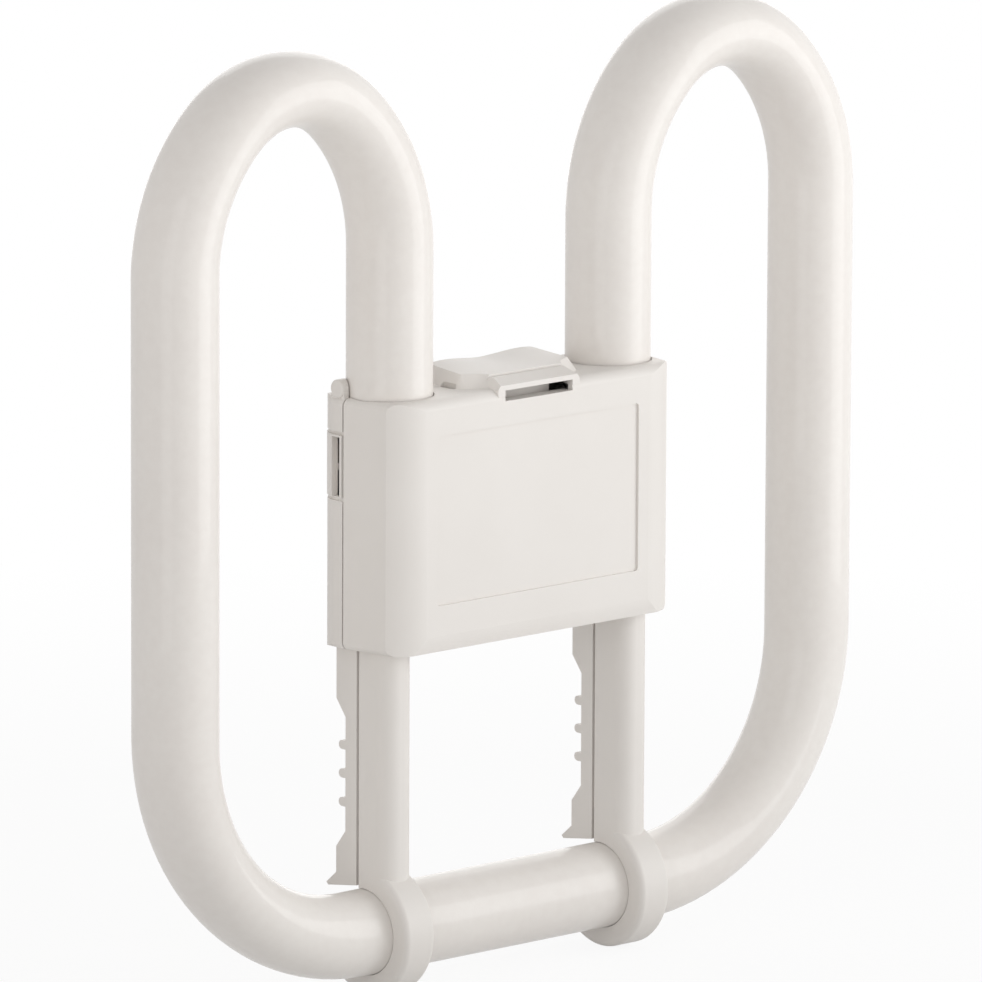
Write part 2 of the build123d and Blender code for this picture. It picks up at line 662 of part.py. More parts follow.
def lead_and_sleeve(pin_x, pin_z):
    """One lead, from the tube's end across to its pin, and the sleeve on its run across."""
    side = math.copysign(1, pin_x)
    spread = math.copysign(LEAD_SPREAD, pin_z)
    start_x = pin_x + side * (INNER_LEG_X - PIN_SPACING_X / 2 - spread)
    line = FilletPolyline([
        (start_x, 0, TUBE_END_Z),
        (start_x, 0, pin_z),
        (pin_x, 0, pin_z),
        (pin_x, PIN_TAIL_Y + LEAD_INSERT, pin_z),
    ], radius=LEAD_BEND_R)
    lead = sweep(Plane(origin=line @ 0, z_dir=line % 0) * Circle(LEAD_R), path=line)
    length = abs(start_x - pin_x) - 2 * SLEEVE_END_GAP
    sleeve = Rot(0, 90, 0) * (Cylinder(SLEEVE_R, length) - Cylinder(SLEEVE_BORE_R, length))
    return lead, Pos((start_x + pin_x) / 2, 0, pin_z) * sleeve


def cement():
    """The bed of cement behind the left end of the tube, on the rear housing's lower rib."""
    bed = Cylinder(TUBE_R + CEMENT_WALL, CEMENT_HEIGHT, align=BOTTOM_ALIGN)
    bed = bed - Cylinder(TUBE_R + CEMENT_FIT, CEMENT_HEIGHT, align=BOTTOM_ALIGN)
    bed = Pos(-INNER_LEG_X, 0, RIB_LOW_Z + RIB) * bed
    bed = bed & span_box(2 * WALL - SEAM_HALF_X, 0, WINDOW_Y1, FLOOR_Y, -FAR, FAR)
    return bed & rear_form(WALL + CEMENT_FIT, FLOOR_Y)


def all_nodes():
    """Every node of the lamp by name, as modelled about the plane of the tube."""
    nodes = {"discharge_tube": discharge_tube()}
    nodes["front_cover"] = front_cover()
    nodes["rear_housing"] = rear_housing()
    for i, (x, z) in enumerate(pin_places()):
        nodes[f"contact_pin_{i + 1}"] = contact_pin(x, z)
        nodes[f"lead_wire_{i + 1}"], nodes[f"lead_sleeve_{i + 1}"] = lead_and_sleeve(x, z)
    nodes["cement_left"], nodes["cement_right"] = both_sides(cement())
    return nodes


for name, shape in all_nodes().items():
    export_step(Pos(0, -SEAT_Y, 0) * shape, f"parts/{name}.step")
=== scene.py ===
# %% [markdown]
# # A square compact fluorescent lamp
# One glass tube is bent into two tall loops and lies in a single plane. A moulded block holds
# its two ends, and two plastic legs reach down from the block and clip round the bottom of the
# tube. The solids come from the CAD model, in metres, with X across the lamp, +Y to the rear
# along the pins and +Z up. This script gives them their finish, and makes the glass again
# with a finer surface, because a glossy bend shows every facet.

import math

import bmesh
import bpy
from mathutils import Matrix, Vector


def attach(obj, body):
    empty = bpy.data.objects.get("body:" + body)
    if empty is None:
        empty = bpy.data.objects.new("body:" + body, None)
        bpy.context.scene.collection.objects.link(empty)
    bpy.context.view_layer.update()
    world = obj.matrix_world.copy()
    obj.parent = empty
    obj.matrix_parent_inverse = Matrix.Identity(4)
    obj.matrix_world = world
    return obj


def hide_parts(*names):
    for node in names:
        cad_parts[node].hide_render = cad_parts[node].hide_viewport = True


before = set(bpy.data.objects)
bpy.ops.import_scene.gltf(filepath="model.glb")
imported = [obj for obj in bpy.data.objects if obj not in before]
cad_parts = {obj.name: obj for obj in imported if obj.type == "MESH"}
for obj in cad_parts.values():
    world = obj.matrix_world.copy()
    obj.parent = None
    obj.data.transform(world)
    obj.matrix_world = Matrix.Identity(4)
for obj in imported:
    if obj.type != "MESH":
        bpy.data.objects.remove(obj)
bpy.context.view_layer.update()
MM = 0.001
print("nodes:", len(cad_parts))

# %% [markdown]
# ## The camera
# The lamp is seen from its left and a little above, from far away, so that its upright lines
# stay nearly parallel. A long lens does the same here. The camera is placed by its
# azimuth and elevation about a point in the plane of the tube, then moved in its own plane
# until the lamp sits in the picture as it should.

# %% Place the camera
PICTURE = 982
CAMERA_AZIMUTH = math.radians(-42.154)
CAMERA_ELEVATION = math.radians(11.246)
CAMERA_ROLL = math.radians(0.253)
CAMERA_DISTANCE = 2.7331
CAMERA_FOCAL_PIXELS = 12538.5
SENSOR = 36.0
TUBE_Y = -19.0 * MM
LOOK_AT = Vector((0, TUBE_Y, 13.5 * MM))
SHIFT_RIGHT = -1.702 * MM
SHIFT_UP = -10.602 * MM


def direction_to(azimuth, elevation):
    """The direction from the lamp to something placed round it, with azimuth 0 in front."""
    return Vector((
        math.sin(azimuth) * math.cos(elevation),
        -math.cos(azimuth) * math.cos(elevation),
        math.sin(elevation),
    ))


back = direction_to(CAMERA_AZIMUTH, CAMERA_ELEVATION)
level = Vector((math.cos(CAMERA_AZIMUTH), math.sin(CAMERA_AZIMUTH), 0))
upright = back.cross(level)
place = LOOK_AT + back * CAMERA_DISTANCE + level * SHIFT_RIGHT + upright * SHIFT_UP
right = level * math.cos(CAMERA_ROLL) + upright * math.sin(CAMERA_ROLL)
up = upright * math.cos(CAMERA_ROLL) - level * math.sin(CAMERA_ROLL)

camera_data = bpy.data.cameras.new("camera")
camera_data.sensor_width = SENSOR
camera_data.lens = CAMERA_FOCAL_PIXELS * SENSOR / PICTURE
camera = bpy.data.objects.new("camera", camera_data)
turn = Matrix((right, up, back)).transposed().to_4x4()
camera.matrix_world = Matrix.Translation(place) @ turn
bpy.context.scene.collection.objects.link(camera)
bpy.context.scene.camera = camera
print("lens:", round(camera_data.lens, 1), "mm")

# %% [markdown]
# ## A short way to write nodes
# Node trees are easier to read when each node is one line. `add` makes a node, sets its
# options, and then fills its inputs: a socket is linked, and anything else is a plain value.
# The Mix node keeps a set of sockets for each kind of data, so its colours have numbers
# and not names. `mixed_colour` hides them.

# %% Helpers for nodes
def add(tree, kind, inputs=None, **options):
    node = tree.nodes.new(kind)
    for option, value in options.items():
        setattr(node, option, value)
    for key, value in (inputs or {}).items():
        if isinstance(value, bpy.types.NodeSocket):
            tree.links.new(value, node.inputs[key])
        else:
            node.inputs[key].default_value = value
    return node


def maths(tree, operation, *values):
    node = add(tree, "ShaderNodeMath", dict(enumerate(values)), operation=operation)
    return node.outputs[0]


def mixed_colour(tree, factor, colour_a, colour_b, blend="MIX"):
    inputs = {0: factor, 6: colour_a, 7: colour_b}
    node = add(tree, "ShaderNodeMix", inputs, data_type="RGBA", blend_type=blend)
    return node.outputs[2]


def new_group(name, kind, sockets_in, sockets_out):
    tree = bpy.data.node_groups.new(name, kind)
    for label, socket, value in sockets_in:
        made = tree.interface.new_socket(label, in_out="INPUT", socket_type=socket)
        if value is not None:
            made.default_value = value
    for label, socket in sockets_out:
        tree.interface.new_socket(label, in_out="OUTPUT", socket_type=socket)
    source = tree.nodes.new("NodeGroupInput")
    target = tree.nodes.new("NodeGroupOutput")
    return tree, source.outputs, target.inputs


print("helpers for nodes:", add.__name__, maths.__name__, mixed_colour.__name__, new_group.__name__)

# %% [markdown]
# ## The line of the tube
# The glass follows a rule: straight legs, a round corner at the bottom and an arch at the top.
# The arch has three centres, so it is narrow at its crown and runs gently into the legs.
# It could be drawn by hand as one curve, but then every handle would have to move when a size
# changes. Geometry Nodes keep the rule instead, and each size is an input.
#
# Hot glass flattens where it bends, most in the middle of the bend. Each piece of the line
# therefore carries two numbers, how much the section is squeezed in the plane of the lamp
# and how much it spreads across it. A curve holds only one radius at each point, which is
# why the second number is applied to the finished surface.

# %% The group for one bent stretch
FLOAT, WHOLE, VECTOR = "NodeSocketFloat", "NodeSocketInt", "NodeSocketVector"
COLOUR, GEOMETRY, MATERIAL = "NodeSocketColor", "NodeSocketGeometry", "NodeSocketMaterial"


def keep_number(tree, geometry, name, value):
    """Stores a number on each point of a curve under a name."""
    inputs = {"Geometry": geometry, "Name": name, "Value": value}
    node = add(
        tree, "GeometryNodeStoreNamedAttribute", inputs, data_type="FLOAT", domain="POINT")
    return node.outputs[0]


def bend_group():
    sockets = [
        ("Radius", FLOAT, 50 * MM), ("Centre", VECTOR, None),
        ("Start", FLOAT, 0.0), ("Sweep", FLOAT, 1.0),
        ("Bend From", FLOAT, 0.0), ("Bend To", FLOAT, 1.0),
        ("Squeeze", FLOAT, 0.0), ("Spread", FLOAT, 0.0),
        ("Steps", WHOLE, 24),
    ]
    tree, given, result = new_group(
        "bent_stretch", "GeometryNodeTree", sockets, [("Curve", GEOMETRY)])
    arc = add(tree, "GeometryNodeCurveArc", {
        "Resolution": given["Steps"],
        "Radius": given["Radius"],
        "Start Angle": given["Start"],
        "Sweep Angle": given["Sweep"],
    }, mode="RADIUS")
    upright_turn = (math.pi / 2, 0, 0)
    moved = add(tree, "GeometryNodeTransform", {
        "Geometry": arc.outputs[0],
        "Translation": given["Centre"],
        "Rotation": upright_turn,
    })
    factor = add(tree, "GeometryNodeSplineParameter").outputs["Factor"]
    share = add(tree, "ShaderNodeMapRange", {
        "Value": factor,
        "To Min": given["Bend From"],
        "To Max": given["Bend To"],
    }).outputs[0]
    bend = maths(tree, "SINE", maths(tree, "MULTIPLY", share, math.pi))
    squeeze = maths(tree, "MULTIPLY", bend, given["Squeeze"])
    spread = maths(tree, "MULTIPLY", bend, given["Spread"])
    curve = keep_number(tree, moved.outputs[0], "squeeze", squeeze)
    curve = keep_number(tree, curve, "spread", spread)
    tree.links.new(curve, result[0])
    return tree


bent_stretch = bend_group()
print("bent stretch:", len(bent_stretch.nodes), "nodes")

# %% [markdown]
# ## The tube's closed ends
# Inside the block each end of the tube is domed, and keeps the small tip through which it was
# pumped out. A dome made by itself would have to be joined on without a seam, so here it is
# part of the same line: its points crowd together and the radius falls as it does on a
# quarter of a circle. Between the dome and the tip the line takes one very short step, on
# which the radius drops at once.

# %% The group for a domed end
DOME_POINTS = 12
SHOULDER_STEP = 0.02 * MM


def upright_line(tree, x, start_z, end_z):
    return add(tree, "GeometryNodeCurvePrimitiveLine", {
        "Start": add(tree, "ShaderNodeCombineXYZ", {"X": x, "Z": start_z}).outputs[0],
        "End": add(tree, "ShaderNodeCombineXYZ", {"X": x, "Z": end_z}).outputs[0],
    }).outputs[0]


def dome_group():
    sockets = [
        ("X", FLOAT, 0.0), ("End Z", FLOAT, 0.0),
        ("Tube Radius", FLOAT, 10 * MM), ("Round", FLOAT, 4 * MM),
        ("Tip Radius", FLOAT, 2 * MM), ("Tip Length", FLOAT, 7 * MM),
    ]
    tree, given, result = new_group(
        "domed_end", "GeometryNodeTree", sockets, [("Curve", GEOMETRY)])
    line = add(tree, "GeometryNodeCurvePrimitiveLine", {"Start": (0, 0, 0), "End": (0, 0, 1)})
    points = add(tree, "GeometryNodeResampleCurve", {
        "Curve": line.outputs[0], "Count": DOME_POINTS,
    }).outputs[0]
    factor = add(tree, "GeometryNodeSplineParameter").outputs["Factor"]
    angle = maths(tree, "MULTIPLY", factor, math.pi / 2)
    top = maths(tree, "ADD", given["End Z"], given["Round"])
    fall = maths(tree, "MULTIPLY", given["Round"], maths(tree, "SINE", angle))
    z = maths(tree, "SUBTRACT", top, fall)
    position = add(tree, "ShaderNodeCombineXYZ", {"X": given["X"], "Z": z}).outputs[0]
    dome = add(tree, "GeometryNodeSetPosition", {
        "Geometry": points, "Position": position,
    }).outputs[0]
    narrowing = maths(tree, "SUBTRACT", 1.0, maths(tree, "COSINE", angle))
    drawn_in = maths(tree, "MULTIPLY", given["Round"], narrowing)
    dome_shrink = maths(tree, "DIVIDE", drawn_in, given["Tube Radius"])
    dome = keep_number(tree, dome, "shrink", dome_shrink)

    tip_top = maths(tree, "SUBTRACT", given["End Z"], SHOULDER_STEP)
    tip_end = maths(tree, "SUBTRACT", given["End Z"], given["Tip Length"])
    tip_share = maths(tree, "DIVIDE", given["Tip Radius"], given["Tube Radius"])
    thin = maths(tree, "SUBTRACT", 1.0, tip_share)
    tip = keep_number(tree, upright_line(tree, given["X"], tip_top, tip_end), "shrink", thin)

    end_shrink = maths(tree, "DIVIDE", given["Round"], given["Tube Radius"])
    is_tip = maths(tree, "GREATER_THAN", factor, 0.5)
    step = add(tree, "ShaderNodeMix", {"Factor": is_tip, "A": end_shrink, "B": thin}).outputs[0]
    shoulder = upright_line(tree, given["X"], given["End Z"], tip_top)
    shoulder = keep_number(tree, shoulder, "shrink", step)

    joined = tree.nodes.new("GeometryNodeJoinGeometry")
    for piece in (tip, shoulder, dome):
        tree.links.new(piece, joined.inputs[0])
    tree.links.new(joined.outputs[0], result[0])
    return tree


domed_end = dome_group()
print("domed end:", len(domed_end.nodes), "nodes")

# %% [markdown]
# ## The sizes of the tube
# A few sizes can be measured on a real lamp: the width, the height, the glass's diameter and
# the places of its legs. The rest is worked out from them. The arch is made of three arcs,
# a tight one at the crown and a wide one at each side, and they meet without a kink where
# their two centres and the meeting point lie on one line.

# %% Sizes of the tube
TUBE_R = 9.45 * MM
TUBE_WIDTH = 205.0 * MM
TUBE_TOP_Z = 106.25 * MM
TUBE_BOTTOM_Z = -90.0 * MM
INNER_LEG_X = 32.05 * MM
ARCH_RISE = 37.5 * MM
CROWN_R = 25.0 * MM
CORNER_R = 50.5 * MM
ARCH_SQUEEZE, ARCH_SPREAD = 0.14, 0.11
CORNER_SQUEEZE, CORNER_SPREAD = 0.09, 0.02
TUBE_END_Z = 6.0 * MM
END_ROUND = 4.0 * MM
TIP_R = 2.1 * MM
TIP_LENGTH = 7.5 * MM

outer_leg_x = TUBE_WIDTH / 2 - TUBE_R
spring_z = TUBE_TOP_Z - TUBE_R * (1 - ARCH_SQUEEZE) - ARCH_RISE
arch_half = (outer_leg_x - INNER_LEG_X) / 2
arch_middle = (outer_leg_x + INNER_LEG_X) / 2
crown_drop = ARCH_RISE - CROWN_R
side_r = (crown_drop ** 2 + arch_half ** 2 - CROWN_R ** 2) / (2 * (arch_half - CROWN_R))
side_angle = math.acos((side_r - arch_half) / (side_r - CROWN_R))
crown_sweep = math.pi - 2 * side_angle
arch_length = 2 * side_r * side_angle + CROWN_R * crown_sweep
side_share = side_r * side_angle / arch_length
crown_z = spring_z + (side_r - CROWN_R) * math.sin(side_angle)
print("arch side radius:", round(side_r / MM, 2), "mm")

# %% [markdown]
# ## The whole tube
# The left half of the line is put together from its stretches and mirrored. Joined curves
# are still separate curves, so they become a chain of edges, their shared ends are merged,
# and the chain becomes one curve again. A circle is then drawn along it.

# %% The line, from one end to the other
MERGE_DISTANCE = 0.005 * MM


def straight(tree, start, end):
    return add(tree, "GeometryNodeCurvePrimitiveLine", {"Start": start, "End": end}).outputs[0]


def bent(tree, radius, centre, start, sweep, share_from, share_to, squeeze, spread, steps):
    """Places the group of a bent stretch, with the squeeze and the spread as sockets."""
    return add(tree, "GeometryNodeGroup", {
        "Radius": radius, "Centre": centre, "Start": start, "Sweep": sweep,
        "Bend From": share_from, "Bend To": share_to,
        "Squeeze": squeeze, "Spread": spread, "Steps": steps,
    }, node_tree=bent_stretch).outputs[0]


def left_half(tree, given):
    """The stretches of the left half, from the closed end to the middle of the bottom."""
    arch = (given["Arch Squeeze"], given["Arch Spread"], given["Steps"])
    corner = (given["Corner Squeeze"], given["Corner Spread"], given["Steps"])
    far = (-arch_middle - (side_r - arch_half), 0, spring_z)
    crown = (-arch_middle, 0, crown_z)
    near = (-arch_middle + (side_r - arch_half), 0, spring_z)
    corner_z = TUBE_BOTTOM_Z + CORNER_R
    corner_centre = (CORNER_R - outer_leg_x, 0, corner_z)
    rest_share = 1 - side_share
    end = add(tree, "GeometryNodeGroup", {
        "X": -INNER_LEG_X, "End Z": TUBE_END_Z, "Tube Radius": given["Tube Radius"],
        "Round": END_ROUND, "Tip Radius": TIP_R, "Tip Length": TIP_LENGTH,
    }, node_tree=domed_end).outputs[0]
    return [
        end,
        straight(tree, (-INNER_LEG_X, 0, TUBE_END_Z + END_ROUND), (-INNER_LEG_X, 0, spring_z)),
        bent(tree, side_r, far, 0.0, side_angle, 0.0, side_share, *arch),
        bent(tree, CROWN_R, crown, side_angle, crown_sweep, side_share, rest_share, *arch),
        bent(tree, side_r, near, math.pi - side_angle, side_angle, rest_share, 1.0, *arch),
        straight(tree, (-outer_leg_x, 0, spring_z), (-outer_leg_x, 0, corner_z)),
        bent(tree, CORNER_R, corner_centre, math.pi, math.pi / 2, 0.0, 1.0, *corner),
        straight(tree, (CORNER_R - outer_leg_x, 0, TUBE_BOTTOM_Z), (0, 0, TUBE_BOTTOM_Z)),
    ]


def one_curve(tree, stretches):
    """Joins the stretches, adds their mirror image and makes a single curve of it all."""
    half = tree.nodes.new("GeometryNodeJoinGeometry")
    for piece in reversed(stretches):
        tree.links.new(piece, half.inputs[0])
    mirrored = add(tree, "GeometryNodeTransform", {
        "Geometry": half.outputs[0], "Scale": (-1, 1, 1),
    })
    whole = tree.nodes.new("GeometryNodeJoinGeometry")
    tree.links.new(mirrored.outputs[0], whole.inputs[0])
    tree.links.new(half.outputs[0], whole.inputs[0])
    chain = add(tree, "GeometryNodeCurveToMesh", {"Curve": whole.outputs[0]}).outputs[0]
    chain = add(tree, "GeometryNodeMergeByDistance", {
        "Geometry": chain, "Distance": MERGE_DISTANCE,
    }).outputs[0]
    return add(tree, "GeometryNodeMeshToCurve", {"Mesh": chain}).outputs[0]


print("line: from two closed ends at", round(INNER_LEG_X / MM, 2), "mm either side")

# %% [markdown]
# ## The surface round the line
# The circle is scaled at each point by what the squeeze and the shrink leave of it. That
# narrows it in every direction, so the finished surface is then widened from front to
# back until the spread is right.

# %% The tree of the tube
def stored(tree, name):
    node = add(tree, "GeometryNodeInputNamedAttribute", {"Name": name}, data_type="FLOAT")
    return node.outputs[0]


def surface_round(tree, line, given):
    in_plane = maths(tree, "SUBTRACT", 1.0, stored(tree, "squeeze"))
    left_over = maths(tree, "SUBTRACT", 1.0, stored(tree, "shrink"))
    circle = add(tree, "GeometryNodeCurvePrimitiveCircle", {
        "Resolution": given["Sides"], "Radius": given["Tube Radius"],
    })
    surface = add(tree, "GeometryNodeCurveToMesh", {
        "Curve": line,
        "Profile Curve": circle.outputs[0],
        "Scale": maths(tree, "MULTIPLY", in_plane, left_over),
        "Fill Caps": True,
    }).outputs[0]
    position = add(tree, "GeometryNodeInputPosition").outputs[0]
    parts = add(tree, "ShaderNodeSeparateXYZ", {"Vector": position}).outputs
    across = maths(tree, "ADD", 1.0, stored(tree, "spread"))
    widened = maths(tree, "MULTIPLY", parts["Y"], maths(tree, "DIVIDE", across, in_plane))
    placed = add(tree, "ShaderNodeCombineXYZ", {
        "X": parts["X"], "Y": maths(tree, "ADD", widened, TUBE_Y), "Z": parts["Z"],
    }).outputs[0]
    return add(tree, "GeometryNodeSetPosition", {
        "Geometry": surface, "Position": placed,
    }).outputs[0]


def tube_tree():
    sockets = [
        ("Tube Radius", FLOAT, TUBE_R),
        ("Arch Squeeze", FLOAT, 0.0), ("Arch Spread", FLOAT, 0.0),
        ("Corner Squeeze", FLOAT, 0.0), ("Corner Spread", FLOAT, 0.0),
        ("Sides", WHOLE, 32), ("Steps", WHOLE, 12), ("Material", MATERIAL, None),
    ]
    tree, given, result = new_group(
        "bent_tube", "GeometryNodeTree", sockets, [("Geometry", GEOMETRY)])
    line = one_curve(tree, left_half(tree, given))
    surface = surface_round(tree, line, given)
    surface = add(tree, "GeometryNodeSetShadeSmooth", {"Geometry": surface}).outputs[0]
    surface = add(tree, "GeometryNodeRealizeInstances", {"Geometry": surface}).outputs[0]
    surface = add(tree, "GeometryNodeSetMaterial", {
        "Geometry": surface, "Material": given["Material"],
    }).outputs[0]
    tree.links.new(surface, result[0])
    return tree


bent_tube = tube_tree()
print("bent tube:", len(bent_tube.nodes), "nodes")

# %% [markdown]
# ## Shared effects for the finishes
# No real surface has one even colour, and none is quite smooth. Every material of the lamp
# shows this in its own measure, so each effect is a group, built once and placed in the
# materials with other values. The first mixes two close colours in soft patches. The second
# is the fine grain left by a mould or a coating, as a normal and as a mask.

# %% The group for soft patches
def patches_group():
    """Two colours mixed in soft patches."""
    sockets = [
        ("Colour A", COLOUR, None), ("Colour B", COLOUR, None),
        ("Scale", FLOAT, 30.0), ("Amount", FLOAT, 1.0),
    ]
    tree, given, result = new_group(
        "soft_patches", "ShaderNodeTree", sockets, [("Colour", COLOUR)])
    place_on = add(tree, "ShaderNodeTexCoord").outputs["Object"]
    noise = add(tree, "ShaderNodeTexNoise", {
        "Vector": place_on, "Scale": given["Scale"], "Detail": 4.0, "Roughness": 0.55,
    })
    mask = add(tree, "ShaderNodeMapRange", {
        "Value": noise.outputs["Fac"],
        "From Min": 0.35, "From Max": 0.65,
        "To Min": 0.0, "To Max": given["Amount"],
    }).outputs[0]
    patchy = mixed_colour(tree, mask, given["Colour A"], given["Colour B"])
    tree.links.new(patchy, result["Colour"])
    return tree


soft_patches = patches_group()
print("soft patches:", len(soft_patches.nodes), "nodes")


# %% The group for a fine grain
def grain_group():
    """A fine grain as a normal, and the same grain as a mask."""
    sockets = [("Scale", FLOAT, 2000.0), ("Depth", FLOAT, 0.01 * MM), ("Strength", FLOAT, 0.3)]
    tree, given, result = new_group(
        "fine_grain", "ShaderNodeTree", sockets, [("Normal", VECTOR), ("Mask", FLOAT)])
    place_on = add(tree, "ShaderNodeTexCoord").outputs["Object"]
    noise = add(tree, "ShaderNodeTexNoise", {
        "Vector": place_on, "Scale": given["Scale"], "Detail": 3.0,
    })
    bump = add(tree, "ShaderNodeBump", {
        "Height": noise.outputs["Fac"],
        "Distance": given["Depth"],
        "Strength": given["Strength"],
    })
    tree.links.new(bump.outputs[0], result["Normal"])
    tree.links.new(noise.outputs["Fac"], result["Mask"])
    return tree


fine_grain = grain_group()
print("fine grain:", len(fine_grain.nodes), "nodes")

# %% [markdown]
# ## The coated glass
# The tube is clear glass with a pale powder on its inside. The powder is washed in as
# a liquid and dried, so its warm white varies a little over the length of the tube, and again
# from grain to grain. The glass over it gives a clean reflection. It could be built as a clear
# wall over a white skin, but the wall is under a millimetre thick and light would have to
# find its way through it. A coat on the shader does the same with one surface: a rough pale
# base under a thin glossy layer. The coat is kept light, so that the bands of light on the
# glass stay pale and don't burn out.

# %% The glass material
def new_material(name):
    material = bpy.data.materials.new(name)
    material.use_nodes = True
    material.node_tree.nodes.clear()
    tree = material.node_tree
    shader = tree.nodes.new("ShaderNodeBsdfPrincipled")
    output = tree.nodes.new("ShaderNodeOutputMaterial")
    tree.links.new(shader.outputs[0], output.inputs[0])
    return material, tree, shader


def coated_glass_material():
    material, tree, shader = new_material("coated_glass")
    patches = add(tree, "ShaderNodeGroup", {
        "Colour A": (0.842, 0.808, 0.770, 1), "Colour B": (0.820, 0.782, 0.745, 1),
        "Scale": 22.0, "Amount": 1.0,
    }, node_tree=soft_patches)
    powder = add(tree, "ShaderNodeGroup", {
        "Colour A": (1.0, 1.0, 1.0, 1), "Colour B": (0.975, 0.970, 0.968, 1),
        "Scale": 420.0, "Amount": 0.8,
    }, node_tree=soft_patches)
    colour = mixed_colour(
        tree, 1.0, patches.outputs["Colour"], powder.outputs["Colour"], "MULTIPLY")
    grain = add(tree, "ShaderNodeGroup", {
        "Scale": 260.0, "Depth": 0.04 * MM, "Strength": 0.06,
    }, node_tree=fine_grain)
    roughness = add(tree, "ShaderNodeMapRange", {
        "Value": grain.outputs["Mask"], "To Min": 0.42, "To Max": 0.56,
    }).outputs[0]
    tree.links.new(colour, shader.inputs["Base Color"])
    tree.links.new(roughness, shader.inputs["Roughness"])
    tree.links.new(grain.outputs["Normal"], shader.inputs["Normal"])
    shader.inputs["IOR"].default_value = 1.5
    shader.inputs["Specular IOR Level"].default_value = 0.2
    shader.inputs["Coat Weight"].default_value = 0.36
    shader.inputs["Coat Roughness"].default_value = 0.06
    shader.inputs["Coat IOR"].default_value = 1.5
    return material


coated_glass = coated_glass_material()
print("material:", coated_glass.name)

# %% [markdown]
# ## Making the tube
# The tree runs on an empty mesh. Each input is set by its socket's identifier before the
# first evaluation, then the result is copied into a plain mesh. The modifier isn't needed
# after that. Mirroring half of the line can leave faces inside out, so all of them are
# turned outwards at the end.

# %% Helpers that settle a tree into a mesh
def settled(name, tree, values):
    """Runs a tree once and gives back its result as a plain mesh object."""
    holder = bpy.data.objects.new(name + "_source", bpy.data.meshes.new(name + "_source"))
    bpy.context.scene.collection.objects.link(holder)
    modifier = holder.modifiers.new("tree", "NODES")
    modifier.node_group = tree
    for item in tree.interface.items_tree:
        if item.in_out == "INPUT" and item.name in values:
            modifier[item.identifier] = values[item.name]
    evaluated = holder.evaluated_get(bpy.context.evaluated_depsgraph_get())
    mesh = bpy.data.meshes.new_from_object(evaluated)
    mesh.name = name
    bpy.data.objects.remove(holder)
    made = bpy.data.objects.new(name, mesh)
    bpy.context.scene.collection.objects.link(made)
    return made


def face_outwards(mesh):
    """Turns every face of a closed mesh outwards and counts the edges left open."""
    shape = bmesh.new()
    shape.from_mesh(mesh)
    bmesh.ops.recalc_face_normals(shape, faces=shape.faces)
    open_edges = sum(1 for edge in shape.edges if not edge.is_manifold)
    shape.to_mesh(mesh)
    shape.free()
    return open_edges


print("helpers for meshes:", settled.__name__, face_outwards.__name__)

# %% Make the tube
glass_tube = settled("glass_tube", bent_tube, {
    "Tube Radius": TUBE_R,
    "Arch Squeeze": ARCH_SQUEEZE,
    "Arch Spread": ARCH_SPREAD,
    "Corner Squeeze": CORNER_SQUEEZE,
    "Corner Spread": CORNER_SPREAD,
    "Sides": 96,
    "Steps": 30,
    "Material": coated_glass,
})
open_edges = face_outwards(glass_tube.data)
attributes = glass_tube.data.attributes
for name in ("squeeze", "spread", "shrink"):
    if name in attributes:
        attributes.remove(attributes[name])
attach(glass_tube, "root")
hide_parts("discharge_tube")
print("tube:", len(glass_tube.data.polygons), "faces,", open_edges, "open edges")

# %% [markdown]
# ## Worn edges
# Handling polishes the edges of a moulding first. They could be painted by hand, but a mask can
# find them: the Bevel node gives the normal that a rounded edge would have, and where it
# turns away from the true normal there is an edge. Noise breaks the mask up, because
# wear is never even.

# %% The group for worn edges
def edge_group():
    """A mask of worn edges: the rounded normal turns away from the true one there."""
    sockets = [("Width", FLOAT, 0.6 * MM), ("Amount", FLOAT, 1.0)]
    tree, given, result = new_group("edge_wear", "ShaderNodeTree", sockets, [("Mask", FLOAT)])
    rounded = add(tree, "ShaderNodeBevel", {"Radius": given["Width"]}, samples=6).outputs[0]
    true_normal = add(tree, "ShaderNodeNewGeometry").outputs["Normal"]
    agree = add(
        tree, "ShaderNodeVectorMath", {0: rounded, 1: true_normal}, operation="DOT_PRODUCT")
    edge = add(tree, "ShaderNodeMapRange", {
        "Value": agree.outputs["Value"], "From Min": 0.995, "From Max": 0.85,
    }).outputs[0]
    place_on = add(tree, "ShaderNodeTexCoord").outputs["Object"]
    broken = add(tree, "ShaderNodeTexNoise", {
        "Vector": place_on, "Scale": 180.0, "Detail": 5.0,
    }).outputs["Fac"]
    worn = maths(tree, "MULTIPLY", maths(tree, "MULTIPLY", edge, broken), given["Amount"])
    tree.links.new(worn, result["Mask"])
    return tree


edge_wear = edge_group()
print("edge wear:", len(edge_wear.nodes), "nodes")

# %% [markdown]
# ## The moulded plastic
# The block and the legs are a warm, pale plastic with a satin surface. Up close it has
# a fine grain from the mould, slow changes of tone where the wall cooled at different speeds,
# and edges that are a touch smoother and lighter. All of that is far too fine to model, so
# the material carries it.

